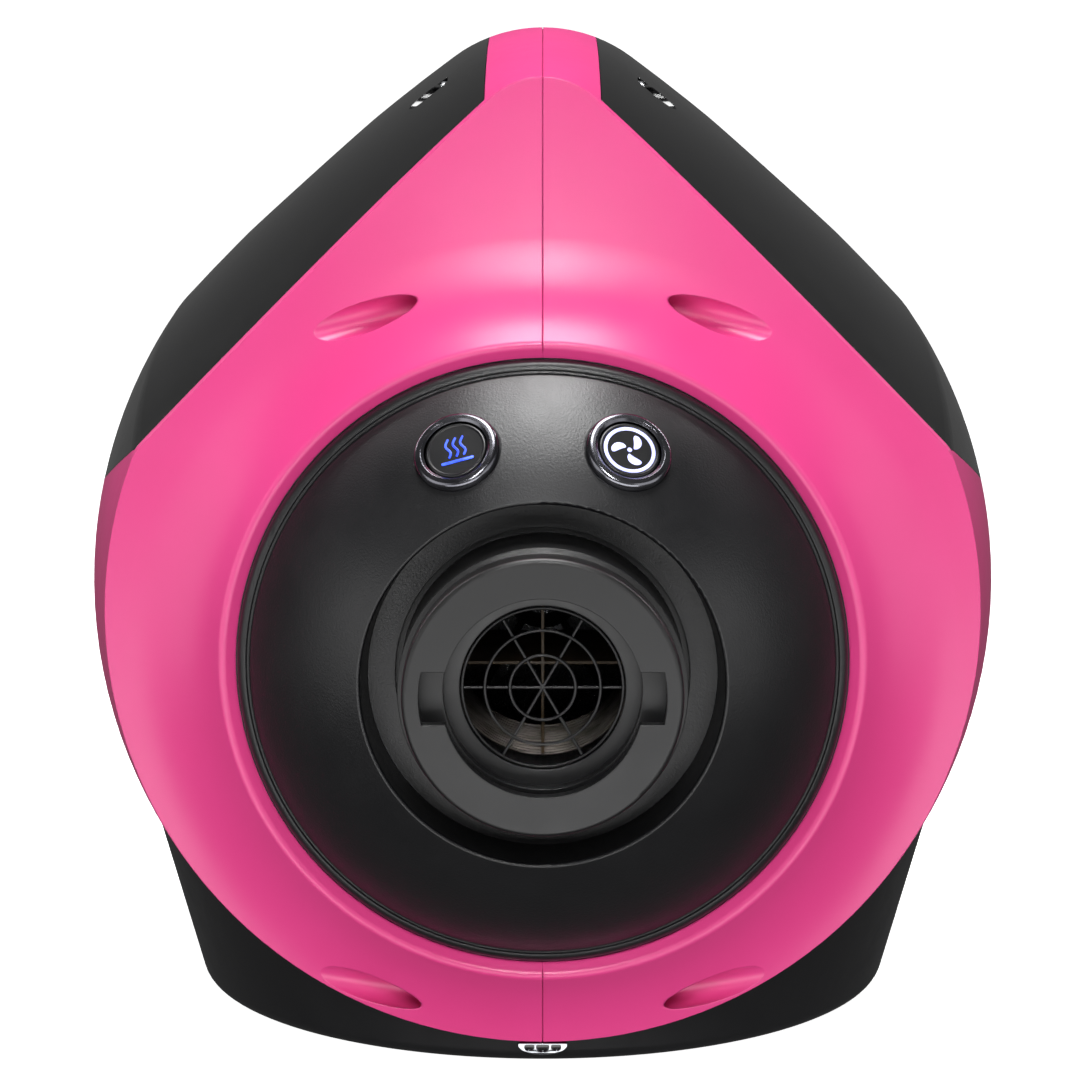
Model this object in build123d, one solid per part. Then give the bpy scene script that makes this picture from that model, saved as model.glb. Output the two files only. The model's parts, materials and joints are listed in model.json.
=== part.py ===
"""Teardrop blower dryer: clamshell housing on a round base, front outlet, rear intake.

Millimetres, +Z up. The air outlet faces -Y and X = 0 is the plane of symmetry.
The origin is on the floor, under the middle of the whole machine's box.
"""

import os
from collections import namedtuple
from math import atan2, cos, pi, radians, sin, sqrt

from build123d import *

# ---- Driving dimensions -------------------------------------------------
AXIS_Z = 114.5  # height of the nozzle and motor axis
WALL = 2.8  # moulded shell wall
COVER_WALL = 2.8  # gloss cover wall
SEAM, SEAM_DEPTH = 0.11, 0.5  # half width and depth of the groove along the joint
GAP = 0.15  # shadow gap beside a cover
FAR = 260.0  # beyond the body on any side

# Cross-section of the body: a round belly, two bowed shoulders and a round cap.
# belly: belly radius, rise: belly centre above the axis, shoulder: its distance
# from that centre, top: crown height, bow: shoulder curvature (1/mm).
Section = namedtuple("Section", "belly rise shoulder top bow")
MID_Y, FRONT_REACH, REAR_REACH = 17.0, 100.0, 127.0
MID = Section(127.0, 10.5, 126.0, 162.5, 1.85e-3)
FRONT = Section(115.0, 10.0, 107.4, 149.6, 0.70e-3)
REAR = Section(100.0, 10.5, 98.0, 140.0, 2.60e-3)
CORNER_R = 12.0  # rounding where a shoulder meets the belly
STATIONS = (-104, -80, -50, -20, 17, 55, 90, 120, 148)
FLOOR_CUT = 9.0  # flat underside of the shells

# Front face: a flare that sweeps back from the lip round the front panel.
LIP_R, LIP_Y, LIP_ROUND = 82.0, -102.2, 1.8
FLARE_ARCS = ((45.0, 8.0, 108.0), (8.0, 2.0, 152.0))  # slope from, slope to, end radius
PANEL_HOLE_R = 78.7
REAR_APEX_Y, REAR_FACE_R = 146.0, 230.0
INTAKE_R = 62.5

# Hand hole, right through the shoulders along X
GRIP_LENGTH, GRIP_HEIGHT, GRIP_RISE, GRIP_Y = 90.0, 34.0, 121.0, 42.0

# Front panel, a dome with a recess for the hose coupling
DOME_R, DOME_Y, PANEL_WALL = 92.4, -49.5, 2.2
RECESS_R, RECESS_WALL, RECESS_Y = 45.2, 1.6, -113.0
BORE_R = 24.5
COLLAR_R, COLLAR_Y, COLLAR_STEP_Y = 34.4, -146.0, -137.0
GUARD_Y = -132.0

# Push buttons, 19 mm panel holes
BUTTON_X, BUTTON_RISE = 21.3, 57.0
BUTTON_HOLE_R, BEZEL_R, CAP_R = 9.6, 11.0, 7.85
BEZEL_SEAT, NUT_FRONT, BARREL_END = -0.75, -3.4, -10.2
CAP_TOP = 1.2
ICON_TILT = 16.0

# Screw wells in the flare and in the side covers
WELL_X, WELL_RISE, WELL_R, WELL_DEPTH = 46.0, 88.0, 4.1, 24.0
COVER_LINE = ((-85.0, 168.0), (17.0, 149.5), (119.0, 168.0))  # lower edge, Y and Z
COVER_X, COVER_EDGE = 15.0, 2.05  # inner edge from X = 0, setback from the faces
COVER_WELL, COVER_WELL_R = (33.0, -38.0, 144.4), 4.4  # X, Y, height above the axis

# Base
BASE_R, BASE_SLOPE, BASE_TOP, BASE_FLOOR, BASE_CORNER = 99.0, 0.28, 60.0, 3.0, 5.0
FOOT_R, FOOT_OFFSET = 9.0, 53.0
BADGE = (6.5, 2.6)  # half width and half height

# Air path and motor
DUCT_R, DUCT_WALL = 30.0, 2.0
DUCT_FRONT, DUCT_REAR = -107.3, -44.0
FAN_R, FAN_FRONT, FAN_REAR = 62.0, 22.0, 64.0
SHAFT_R, STATOR_R, STATOR_BORE, ARMATURE_R = 4.0, 44.0, 22.6, 22.0
STATOR_FRONT, STATOR_REAR = 70.0, 98.0
BEARING_R = 8.0

# Mains inlet, on the rear face below the intake
INLET_RISE = -80.0
INLET_FLANGE = (31.0, 24.8)
INLET_BODY = (27.0, 20.0)
INLET_CAVITY = (24.4, 16.4)


# ---- Helpers --------------------------------------------------------------
def outline(start, *steps):
    """Closed face from straight steps (a point) and arc steps (middle, end)."""
    edges = []
    here = start
    for step in steps:
        if isinstance(step[0], tuple):
            edges.append(ThreePointArc(here, step[0], step[1]))
            here = step[1]
        else:
            edges.append(Line(here, step))
            here = step
    edges.append(Line(here, start))
    return make_face(edges)


def about_nozzle(face):
    """Solid turned about the nozzle axis from a face drawn as (radius, Y)."""
    return Pos(0, 0, AXIS_Z) * revolve(face, Axis.Y)


def ring(outer, inner, front, rear):
    """Round ring or disc on the nozzle axis between two stations."""
    face = Pos((outer + inner) / 2, (front + rear) / 2) * Rectangle(outer - inner, rear - front)
    return about_nozzle(face)


def on_circle(centre, radius, angle):
    return (centre[0] + radius * cos(angle), centre[1] + radius * sin(angle))


def block(x0, x1, y0, y1, z0, z1):
    """Box between two corners."""
    size = (x1 - x0, y1 - y0, z1 - z0)
    return Pos((x0 + x1) / 2, (y0 + y1) / 2, (z0 + z1) / 2) * Box(*size)


def mirrored(shape):
    """The same shape on the other side of X = 0."""
    return mirror(shape, Plane.YZ)


def screw(head_r, shank_r, length):
    """Pan-head screw, its head's underside at the origin and its shank along -Z."""
    head = Pos(0, 0, 0.9) * Cylinder(head_r, 1.8)
    head = fillet(head.edges().group_by(Axis.Z)[-1], 0.6)
    shank = Pos(0, 0, -length / 2) * Cylinder(shank_r, length)
    body = head + shank
    for turn in (0, 90):
        body -= Pos(0, 0, 1.4) * Rot(0, 0, turn) * Box(head_r * 1.2, 0.8, 1.2)
    return body


def tilted(point, direction, spin=(1, 0, 0)):
    """Frame at a point whose Z axis looks along a direction."""
    return Plane(origin=point, x_dir=spin, z_dir=direction)


# ---- Body envelope --------------------------------------------------------
def section_at(y):
    """Section measures at a station: fullest at MID_Y, drawn in to both ends."""
    end, reach = (FRONT, FRONT_REACH) if y < MID_Y else (REAR, REAR_REACH)
    share = 1 - ((y - MID_Y) / reach) ** 2
    return Section(*(e + (m - e) * share for e, m in zip(end, MID)))


def half_wire(y, inset):
    """Right half of the section at a station, drawn in by an inset, as a closed wire."""
    s = section_at(y)
    bow_r = 1 / s.bow
    side = (bow_r - s.shoulder) / sqrt(2)
    bow_c = (-side, s.rise - side)
    crown = s.top - bow_c[1]
    cap_r = (bow_r**2 - side**2 - crown**2) / (2 * (bow_r - crown))
    cap_c = (0.0, s.top - cap_r)
    belly_c = (0.0, s.rise)
    # corner circle, inside both the shoulder arc and the belly
    near, far = bow_r - CORNER_R, s.belly - CORNER_R
    span = (belly_c[0] - bow_c[0], belly_c[1] - bow_c[1])
    reach = sqrt(span[0] ** 2 + span[1] ** 2)
    along = (reach**2 + near**2 - far**2) / (2 * reach)
    across = sqrt(near**2 - along**2)
    unit = (span[0] / reach, span[1] / reach)
    corner_c = (
        bow_c[0] + unit[0] * along + unit[1] * across,
        bow_c[1] + unit[1] * along - unit[0] * across,
    )
    turns = (
        pi / 2,
        atan2(cap_c[1] - bow_c[1], cap_c[0] - bow_c[0]),
        atan2(corner_c[1] - bow_c[1], corner_c[0] - bow_c[0]),
        atan2(corner_c[1] - belly_c[1], corner_c[0] - belly_c[0]),
        -pi / 2,
    )
    circles = ((cap_c, cap_r), (bow_c, bow_r), (corner_c, CORNER_R), (belly_c, s.belly))
    edges = []
    for (centre, radius), first, last in zip(circles, turns, turns[1:]):
        marks = [on_circle(centre, radius - inset, t) for t in (first, (first + last) / 2, last)]
        marks = [(abs(x), y, AXIS_Z + z) for x, z in marks]
        edges.append(Edge.make_three_point_arc(*marks))
    edges.append(Edge.make_line(edges[-1] @ 1, edges[0] @ 0))
    return Wire(edges)


def flare_profile(inset):
    """Flare's points as (radius, Y), each arc as (middle, end), at an inset into the wall."""
    slope = radians(FLARE_ARCS[0][0])
    here = (LIP_R + LIP_ROUND * sin(slope), LIP_Y + LIP_ROUND - LIP_ROUND * cos(slope))
    start = (here[0] - inset * sin(slope), here[1] + inset * cos(slope))
    steps = []
    for first, last, end in FLARE_ARCS:
        a, b = radians(first), radians(last)
        radius = (end - here[0]) / (sin(a) - sin(b))
        centre = (here[0] + radius * sin(a), here[1] - radius * cos(a))
        marks = []
        for t in ((a + b) / 2, b):
            reach = radius + inset
            marks.append((centre[0] - reach * sin(t), centre[1] + reach * cos(t)))
        steps.append(tuple(marks))
        here = (centre[0] - radius * sin(b), centre[1] + radius * cos(b))
    last = steps[-1][1]
    steps.append((FAR, last[1] + (FAR - last[0]) * sin(b) / cos(b)))
    return start, steps


def flare_y(radius):
    """Station of the flare's outer surface at a radius on its first arc."""
    a, b = radians(FLARE_ARCS[0][0]), radians(FLARE_ARCS[0][1])
    start = (LIP_R + LIP_ROUND * sin(a), LIP_Y + LIP_ROUND - LIP_ROUND * cos(a))
    arc_r = (FLARE_ARCS[0][2] - start[0]) / (sin(a) - sin(b))
    centre = (start[0] + arc_r * sin(a), start[1] - arc_r * cos(a))
    return centre[1] + sqrt(arc_r**2 - (radius - centre[0]) ** 2)


def ahead_of_flare(inset, lip=False):
    """Everything in front of the flare; with the rounded lip for the outside skin."""
    start, steps = flare_profile(inset)
    far = -200.0
    if lip:
        angle = radians(40)
        inner = (LIP_R - LIP_ROUND * sin(angle), LIP_Y + LIP_ROUND - LIP_ROUND * cos(angle))
        crest = (LIP_R, LIP_Y)
        floor = inner[1] + (inner[0] - 70.0) * sin(angle) / cos(angle)
        lip_edge = ((0.0, floor), (70.0, floor), inner, (crest, start))
        face = outline((0.0, far), *lip_edge, *steps, (FAR, far))
    else:
        face = outline((0.0, far), (0.0, start[1]), start, *steps, (FAR, far))
    return about_nozzle(face)


def rear_ball(inset):
    return Pos(0, REAR_APEX_Y - REAR_FACE_R, AXIS_Z) * Sphere(REAR_FACE_R - inset)


def half_body(inset, lip=False):
    """Right half of the body's outer form, drawn in by an inset on every side."""
    body = Solid.make_loft([half_wire(y, inset) for y in STATIONS])
    body -= ahead_of_flare(inset, lip)
    body &= rear_ball(inset)
    return body - block(-300, 300, -300, 300, -300, FLOOR_CUT + inset)


def grip_bar(growth):
    """The hand hole's stadium, right through along X."""
    plane = Plane(origin=(-200, GRIP_Y, AXIS_Z + GRIP_RISE), x_dir=(0, 1, 0), z_dir=(1, 0, 0))
    slot = SlotOverall(GRIP_LENGTH + 2 * growth, GRIP_HEIGHT + 2 * growth)
    return extrude(plane * slot, 400)


def cover_zone(gap):
    """Space of the right side cover: outboard, above its lower edge, clear of both faces.

    A gap widens it on every side, which gives the pocket in the shell.
    """
    first, middle, last = ((y, z - gap) for y, z in COVER_LINE)
    side = Plane(origin=(COVER_X - gap, 0, 0), x_dir=(0, 1, 0), z_dir=(1, 0, 0))
    above = ((FAR, last[1]), (FAR, 2 * FAR), (-FAR, 2 * FAR), (-FAR, first[1]))
    zone = extrude(side * outline(first, (middle, last), *above), FAR)
    edge = COVER_EDGE - gap
    zone = (zone - ahead_of_flare(edge)) & rear_ball(edge)
    return zone - Solid.make_loft([half_wire(y, COVER_WALL + gap) for y in STATIONS])


def well_frames():
    """Frames of the right shell's two screw wells: origin on the flare, Z outwards."""
    frames = []
    for up in (1, -1):
        reach = sqrt(WELL_X**2 + WELL_RISE**2)
        point = (WELL_X, flare_y(reach), AXIS_Z + up * WELL_RISE)
        frames.append(tilted(point, (0.945, -0.234, -0.227 * up), (0, 1, 0)))
    return frames


def along(frame, low, high, radius):
    """Cylinder along a frame's Z axis between two heights."""
    return frame * (Pos(0, 0, (low + high) / 2) * Cylinder(radius, high - low))


def cover_well_frame():
    x, y, rise = COVER_WELL
    return tilted((x, y, AXIS_Z + rise), (1, 0, 0), (0, 1, 0))


def inlet_frame():
    """Frame on the rear face at the mains inlet, Z outwards and X across."""
    depth = sqrt(REAR_FACE_R**2 - INLET_RISE**2)
    point = (0, REAR_APEX_Y - REAR_FACE_R + depth, AXIS_Z + INLET_RISE)
    return tilted(point, (0, depth, INLET_RISE), (1, 0, 0))


def button_frame(side):
    """Frame on the dome at a button, Z outwards and X level."""
    depth = sqrt(DOME_R**2 - BUTTON_X**2 - BUTTON_RISE**2)
    point = (side * BUTTON_X, DOME_Y - depth, AXIS_Z + BUTTON_RISE)
    normal = (side * BUTTON_X, -depth, BUTTON_RISE)
    return tilted(point, normal, (depth, side * BUTTON_X, 0))


# ---- Casing ---------------------------------------------------------------
def make_right_shell(outer):
    void = half_body(WALL)
    for frame in well_frames():
        void -= along(frame, -WELL_DEPTH - 2.5, 20, WELL_R + 2.4)
    shell = outer - void
    for frame in well_frames():
        shell -= along(frame, -WELL_DEPTH, 60, WELL_R)
        shell -= along(frame, -WELL_DEPTH - 4, -WELL_DEPTH + 1, 2.1)
    for x, y in base_screw_places():
        shell -= Pos(x, y, FLOOR_CUT) * Cylinder(1.6, 9.0)
    shell -= cover_zone(GAP)
    shell -= ring(PANEL_HOLE_R, 0, -150, -60)
    shell -= ring(INTAKE_R, 0, 60, 200)
    seat = inlet_frame()
    shell -= seat * (Pos(0, 0, 9.1) * Box(INLET_FLANGE[0] + 0.6, INLET_FLANGE[1] + 0.6, 20))
    shell -= seat * Box(INLET_BODY[0] + 0.2, INLET_BODY[1] + 0.2, 20)
    return shell - (block(-1, SEAM, -300, 300, -10, 400) - half_body(SEAM_DEPTH))


def make_right_cover(outer):
    frame = cover_well_frame()
    cover = outer & cover_zone(0)
    cover += grip_bar(COVER_WALL) & outer & block(0, 200, -300, 300, 0, 400)
    cover += along(frame, -10, 8, COVER_WELL_R + 2.0) & outer & block(0, 200, -300, 300, 0, 400)
    cover -= along(frame, -7.5, 40, COVER_WELL_R)
    cover -= along(frame, -12, -7, 1.7)
    return cover - grip_bar(0)


def make_base(grown):
    low, high = BASE_FLOOR, BASE_TOP
    rim = BASE_R + BASE_SLOPE * (high - low)
    inner = BASE_R - 3.0
    foot = outline((0.0, low), (BASE_R, low), (rim, high), (rim - 3.0, high), (inner, low + 3), (0.0, low + 3))
    base = Pos(0, MID_Y) * revolve(Plane.XZ * foot, Axis.Z)
    base = fillet(base.edges().filter_by(GeomType.CIRCLE).group_by(Axis.Z)[0], BASE_CORNER)
    base -= grown + mirrored(grown)
    for x, y in base_screw_places():
        post = block(x - 6, x + 6, y - 6, y + 6, low + 3, FLOOR_CUT - 0.3)
        base += post
        base -= Pos(x, y, (low + FLOOR_CUT) / 2) * Cylinder(1.8, 20)
        base -= Pos(x, y, low + 1.5) * Cylinder(3.8, 3.01)
    for x, y in foot_places():
        base -= Pos(x, y, low) * Cylinder(FOOT_R - 3.0, 2.0)
    return base - make_badge(grown)


def base_screw_places():
    return [(x, MID_Y + y) for x in (-30, 30) for y in (-52, 52)]


def foot_places():
    return [(x * FOOT_OFFSET, MID_Y + y * FOOT_OFFSET) for x in (-1, 1) for y in (-1, 1)]


def make_feet():
    feet = []
    for x, y in foot_places():
        pad = Pos(x, y, BASE_FLOOR / 2) * Cylinder(FOOT_R, BASE_FLOOR)
        pad = fillet(pad.edges().group_by(Axis.Z)[0], 0.8)
        feet.append(pad + Pos(x, y, BASE_FLOOR + 0.5) * Cylinder(FOOT_R - 3.1, 1.0))
    return Compound(feet)


def make_base_screws():
    screws = []
    for x, y in base_screw_places():
        screws.append(Pos(x, y, BASE_FLOOR + 3.0) * Rot(180, 0, 0) * screw(3.2, 1.5, 6.0))
    return Compound(screws)


def make_badge(grown):
    """Plain oval nameplate on the base's front, its raised rim tucked under the body."""
    centre = 8.4
    front = MID_Y - BASE_R - BASE_SLOPE * (centre - BASE_FLOOR)
    plane = Plane(origin=(0, front + 2.0, centre), x_dir=(1, 0, 0), z_dir=(0, -1, 0))
    outer = Ellipse(*BADGE)
    badge = extrude(plane * outer, 2.3)
    badge += extrude(plane * (outer - Ellipse(BADGE[0] - 0.9, BADGE[1] - 0.8)), 2.9)
    return badge - grown - mirrored(grown)


# ---- Front panel and outlet -------------------------------------------------
def dome_y(radius, inset=0.0):
    return DOME_Y - sqrt((DOME_R - inset) ** 2 - radius**2)


def make_front_panel():
    inset = PANEL_WALL
    back = RECESS_Y + inset
    wall_r = RECESS_R + RECESS_WALL
    face = outline(
        (37.2, RECESS_Y),
        (RECESS_R - 1.0, RECESS_Y),
        (RECESS_R, dome_y(RECESS_R + 0.8) + 0.9),
        ((RECESS_R + 0.25, dome_y(RECESS_R + 0.8) + 0.25), (RECESS_R + 0.9, dome_y(RECESS_R + 0.9))),
        ((61.0, dome_y(61.0)), (74.7, dome_y(74.7))),
        (75.0, -102.5),
        (75.6, -102.3),
        (76.0, -102.9),
        ((77.6, -102.1), (78.3, -100.3)),
        (78.3, -99.5),
        (80.4, -99.5),
        (80.4, -97.5),
        (75.8, -97.5),
        (73.4, dome_y(73.4, inset)),
        ((61.0, dome_y(61.0, inset)), (wall_r, dome_y(wall_r, inset))),
        (wall_r, back),
        (37.2, back),
    )
    panel = about_nozzle(face)
    for side in (-1, 1):
        frame = button_frame(side)
        panel -= along(frame, BEZEL_SEAT, 12, BEZEL_R + 0.15)
        panel -= along(frame, -12, 2, BUTTON_HOLE_R)
    return panel


def make_coupling():
    """Bayonet collar for the hose: face plate, twist cavity, seat wall and rear flange."""
    face = outline(
        (BORE_R, COLLAR_Y),
        (COLLAR_R - 1.2, COLLAR_Y),
        ((COLLAR_R - 0.35, COLLAR_Y + 0.35), (COLLAR_R, COLLAR_Y + 1.2)),
        (COLLAR_R, COLLAR_STEP_Y - 0.4),
        (COLLAR_R + 1.3, COLLAR_STEP_Y),
        (COLLAR_R + 1.3, -110.3),
        (42.0, -110.3),
        (42.0, DUCT_FRONT),
        (28.2, DUCT_FRONT),
        (28.2, GUARD_Y),
        (BORE_R, GUARD_Y),
        (BORE_R, GUARD_Y - 4.5),
        (31.2, GUARD_Y - 4.5),
        (31.2, COLLAR_Y + 4.0),
        (BORE_R, COLLAR_Y + 4.0),
    )
    collar = about_nozzle(face)
    notch = block(-31, 31, COLLAR_Y - 1, COLLAR_Y + 4.1, AXIS_Z - 6.5, AXIS_Z + 6.5)
    return collar - (notch & ring(30.2, 0, COLLAR_Y - 2, COLLAR_Y + 4.1))


def make_guard():
    """Finger guard behind the seat wall: rim plate, three wire rings and six spokes."""
    front, rear = GUARD_Y, GUARD_Y + 1.2
    guard = ring(28.0, 20.5, front, rear)
    for radius in (19.95, 14.4, 8.1):
        guard += ring(radius + 0.55, radius - 0.55, front, rear)
    guard += ring(1.6, 0, front, rear)
    for turn in (0, 60, 120):
        bar = Box(43.0, rear - front, 1.0)
        guard += Pos(0, (front + rear) / 2, AXIS_Z) * Rot(0, turn, 0) * bar
    return guard


# ---- Air path, heater and motor ---------------------------------------------
def make_duct():
    return ring(DUCT_R, DUCT_R - DUCT_WALL, DUCT_FRONT, DUCT_REAR)


def make_shroud():
    t = DUCT_WALL
    face = outline(
        (DUCT_R - t, DUCT_REAR),
        (DUCT_R, DUCT_REAR),
        (FAN_R, 8.0),
        (FAN_R, FAN_FRONT),
        (FAN_R - t, FAN_FRONT),
        (FAN_R - t, 9.0),
    )
    return about_nozzle(face)


def make_heater_frame():
    """Two crossed mica plates that carry the heater's winding."""
    length, front = 46.0, -98.0
    plate = Box(47.6, length, 0.8)
    return Pos(0, front + length / 2, AXIS_Z) * (plate + Rot(0, 90, 0) * plate)


def make_heater_coils():
    turns = []
    for index in range(9):
        place = Pos(0, -95.0 + 5.0 * index, AXIS_Z) * Rot(90, 0, 0)
        turns.append(place * Torus(24.7, 0.7))
    return Compound(turns)


def make_thermal_cutout():
    body = Pos(0, -46.5, AXIS_Z + 24.5) * Box(12, 7, 5)
    return body + Pos(0, -42.4, AXIS_Z + 24.5) * Box(8, 1.4, 2)


def make_fan_housing():
    t = 2.0
    housing = ring(FAN_R, FAN_R - t, FAN_FRONT, FAN_REAR)
    housing += ring(FAN_R - 1, 30.0, FAN_REAR - t, FAN_REAR)
    housing += ring(12.0, 0, FAN_FRONT, FAN_FRONT + 6)
    for turn in range(0, 180, 30):
        vane = Pos(0, FAN_FRONT + 2.5, AXIS_Z) * Rot(0, turn, 0) * Box(2 * (FAN_R - 1), 5, 1.6)
        housing += vane
    return housing - ring(BEARING_R, 0, FAN_FRONT - 1, FAN_FRONT + 7)


def make_impeller():
    wheel = ring(55.0, SHAFT_R + 3.0, 33.0, 35.0) + ring(11.0, SHAFT_R, 31.0, 50.0)
    vane = outline((8.0, 34.0), (55.0, 34.0), (55.0, 46.0), (24.0, 56.0), (8.0, 49.0))
    blade = extrude(Plane.XY * vane, 0.8, both=True)
    for index in range(9):
        wheel += Pos(0, 0, AXIS_Z) * Rot(0, index * 40.0, 0) * blade
    return wheel - ring(SHAFT_R, 0, 0, 60)


def make_impeller_nut():
    hexagon = Plane(origin=(0, 31.0, AXIS_Z), x_dir=(1, 0, 0), z_dir=(0, -1, 0)) * RegularPolygon(7, 6)
    return extrude(hexagon, 2.4) - ring(SHAFT_R, 0, 20, 40)


def make_stator():
    core = ring(STATOR_R, STATOR_BORE, STATOR_FRONT, STATOR_REAR)
    for side in (-1, 1):
        window = Pos(0, (STATOR_FRONT + STATOR_REAR) / 2, AXIS_Z + side * 31.0) * Box(30, 60, 9)
        core -= window
    return core


def make_windings():
    """Two field coils through the core's windows, proud of it at both ends."""
    middle = (STATOR_FRONT + STATOR_REAR) / 2
    return Compound([Pos(0, middle, AXIS_Z + side * 31.0) * Box(29, 37, 8) for side in (-1, 1)])


def make_front_bracket():
    return ring(STATOR_R + 2, STATOR_R - 3, FAN_REAR, STATOR_FRONT)


def make_rear_bracket():
    """Motor end frame: rim on the stator, four arms and a bearing hub."""
    frame = ring(STATOR_R + 2, STATOR_R - 3, STATOR_REAR, 112.0)
    frame += ring(12.0, 0, 108.2, 113.5)
    for turn in (45, 135):
        frame += Pos(0, 110.5, AXIS_Z) * Rot(0, turn, 0) * Box(2 * STATOR_R - 2, 4.5, 7)
    return frame - ring(BEARING_R, 0, 107, 115)


def make_brushes():
    """Two carbon brushes in brass holders, across the commutator."""
    parts = []
    for side in (-1, 1):
        parts.append(block(*sorted((side * 12.3, side * 24.0)), 102.6, 106.4, AXIS_Z - 3, AXIS_Z + 3))
    return Compound(parts)


def make_brush_holders():
    parts = []
    for side in (-1, 1):
        tube = block(*sorted((side * 14.5, side * 40.6)), 101.4, 107.6, AXIS_Z - 4.2, AXIS_Z + 4.2)
        hole = block(*sorted((side * 14.0, side * 38.0)), 102.5, 106.5, AXIS_Z - 3.1, AXIS_Z + 3.1)
        parts.append(tube - hole)
    return Compound(parts)


def make_bearing(front):
    return ring(BEARING_R, SHAFT_R + 0.03, front, front + 5.0)


def make_bulkhead():
    """Moulded partition that carries the fan housing and splits intake from outlet."""
    front, rear = 40.0, 43.0
    half = Solid.make_loft([half_wire(front, 3.4), half_wire(rear, 3.4)])
    half -= ring(FAN_R, 0, 30, 60)
    half -= block(-300, 300, -300, 300, -300, FLOOR_CUT + WALL + 0.3)
    half -= block(-300, 300, -300, 300, AXIS_Z + GRIP_RISE - GRIP_HEIGHT / 2 - COVER_WALL - 0.3, 400)
    return Compound(half.solids() + mirrored(half).solids())


def make_board():
    return block(-36, 36, -62, 14, 30.0, 31.6)


def make_board_parts():
    """Heat sink, triac, capacitor, relay and choke on the control board."""
    parts = []
    sink = block(-32, -12, -55, -25, 31.6, 34.6)
    for index in range(5):
        sink += block(-32 + 4.5 * index, -30.4 + 4.5 * index, -55, -25, 34.6, 44.0)
    parts.append(sink)
    parts.append(Pos(12, -45, 38.6) * Cylinder(7, 14))
    parts.append(block(4, 24, -30, -14, 31.6, 44.0))
    parts.append(Pos(-18, -5, 36.6) * (Cylinder(9, 10) - Cylinder(4, 10)))
    return Compound(parts)


def make_acoustic_foam():
    return ring(84.0, 66.0, 48.0, 94.0)


# ---- Rear intake and mains inlet ----------------------------------------------
def make_intake_cover():
    """Domed grille: five rings of slots between six ribs, with a finger dimple in the hub."""
    cover = (ring(61.8, 0, 110, 150) & rear_ball(0)) - rear_ball(2.5)
    for index in range(5):
        inner = 17.0 + 8.0 * index
        slots = ring(inner + 4.2, inner, 100, 160)
        for turn in (0, 60, 120):
            slots -= Pos(0, 135, AXIS_Z) * Rot(0, turn, 0) * Box(140, 60, 4.5)
        cover -= slots
    return cover


def make_intake_ring():
    front = REAR_APEX_Y - 19.0
    return ring(65.5, 57.0, front, front + 13.0) & rear_ball(WALL + 0.05)


def make_filter():
    return ring(55.5, 0, REAR_APEX_Y - 17.5, REAR_APEX_Y - 10.0)


def make_inlet():
    """Mains appliance inlet: flange, body and tapered socket cavity, pins separate."""
    frame = inlet_frame()
    body = Pos(0, 0, 0.35) * Box(*INLET_FLANGE, 2.5)
    body = fillet(body.edges().filter_by(Axis.Z), 2.0)
    body += Pos(0, 0, -10.5) * Box(*INLET_BODY, 20)
    cavity = Pos(0, 0, -6.9) * Box(*INLET_CAVITY, 17.1)
    keys = [e for e in cavity.edges().filter_by(Axis.Z) if e.center().Y > 0]
    return frame * (body - chamfer(keys, 4.0))


def make_inlet_pins():
    frame = inlet_frame()
    pins = []
    for x, y in ((-7, -1.5), (0, 2.5), (7, -1.5)):
        pins.append(frame * (Pos(x, y, -10.5) * Box(2.0, 4.0, 9.7)))
    return Compound(pins)


# ---- Push buttons -------------------------------------------------------------
def turned_on(frame, *points):
    """Solid turned about a frame's Z axis from points given as (radius, height)."""
    return frame * revolve(Plane.XZ * outline(*points), Axis.Z)


def make_button_housing(frame):
    return turned_on(
        frame,
        (CAP_R + 0.35, 1.3),
        (8.9, 1.8),
        (9.6, 1.75),
        ((10.6, 1.25), (BEZEL_R, 0.2)),
        (BEZEL_R, BEZEL_SEAT),
        (9.4, BEZEL_SEAT),
        (9.4, BARREL_END),
        (0.0, BARREL_END),
        (0.0, BARREL_END + 1.0),
        (CAP_R + 0.35, BARREL_END + 1.0),
    )


def make_button_nut(frame):
    hexagon = extrude(RegularPolygon(12.6, 6), 3.0)
    return frame * (Pos(0, 0, NUT_FRONT - 3.0) * (hexagon - Cylinder(9.4, 10)))


def make_button_spring(frame):
    helix = Helix(pitch=1.25, height=2.5, radius=4.2)
    wire = Plane(origin=helix @ 0, z_dir=helix % 0) * Circle(0.25)
    return frame * (Pos(0, 0, BARREL_END + 1.3) * sweep(wire, path=helix))


def make_button_cap(frame):
    return turned_on(
        frame,
        (0.0, CAP_TOP - 0.25),
        (6.9, CAP_TOP - 0.25),
        (7.1, CAP_TOP),
        ((7.6, CAP_TOP - 0.1), (CAP_R, CAP_TOP - 0.5)),
        (CAP_R, -2.4),
        (5.0, -2.4),
        (5.0, -3.7),
        (0.0, -3.7),
    )


def make_heat_icon(frame):
    """Three rising waves over a bar."""
    marks = []
    for index in (-1, 0, 1):
        x = 2.1 * index
        low = ThreePointArc((x, -1.6), (x + 0.55, -0.6), (x, 0.5))
        high = ThreePointArc((x, 0.5), (x - 0.55, 1.6), (x, 2.8))
        marks.append(extrude(trace([low, high], 0.65), 0.2))
    marks.append(Pos(0, -3.0, 0.1) * Box(7.2, 0.65, 0.2))
    place = Pos(0, 0, CAP_TOP - 0.25) * Rot(0, 0, ICON_TILT)
    return Compound([frame * (place * mark) for mark in marks])


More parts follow.
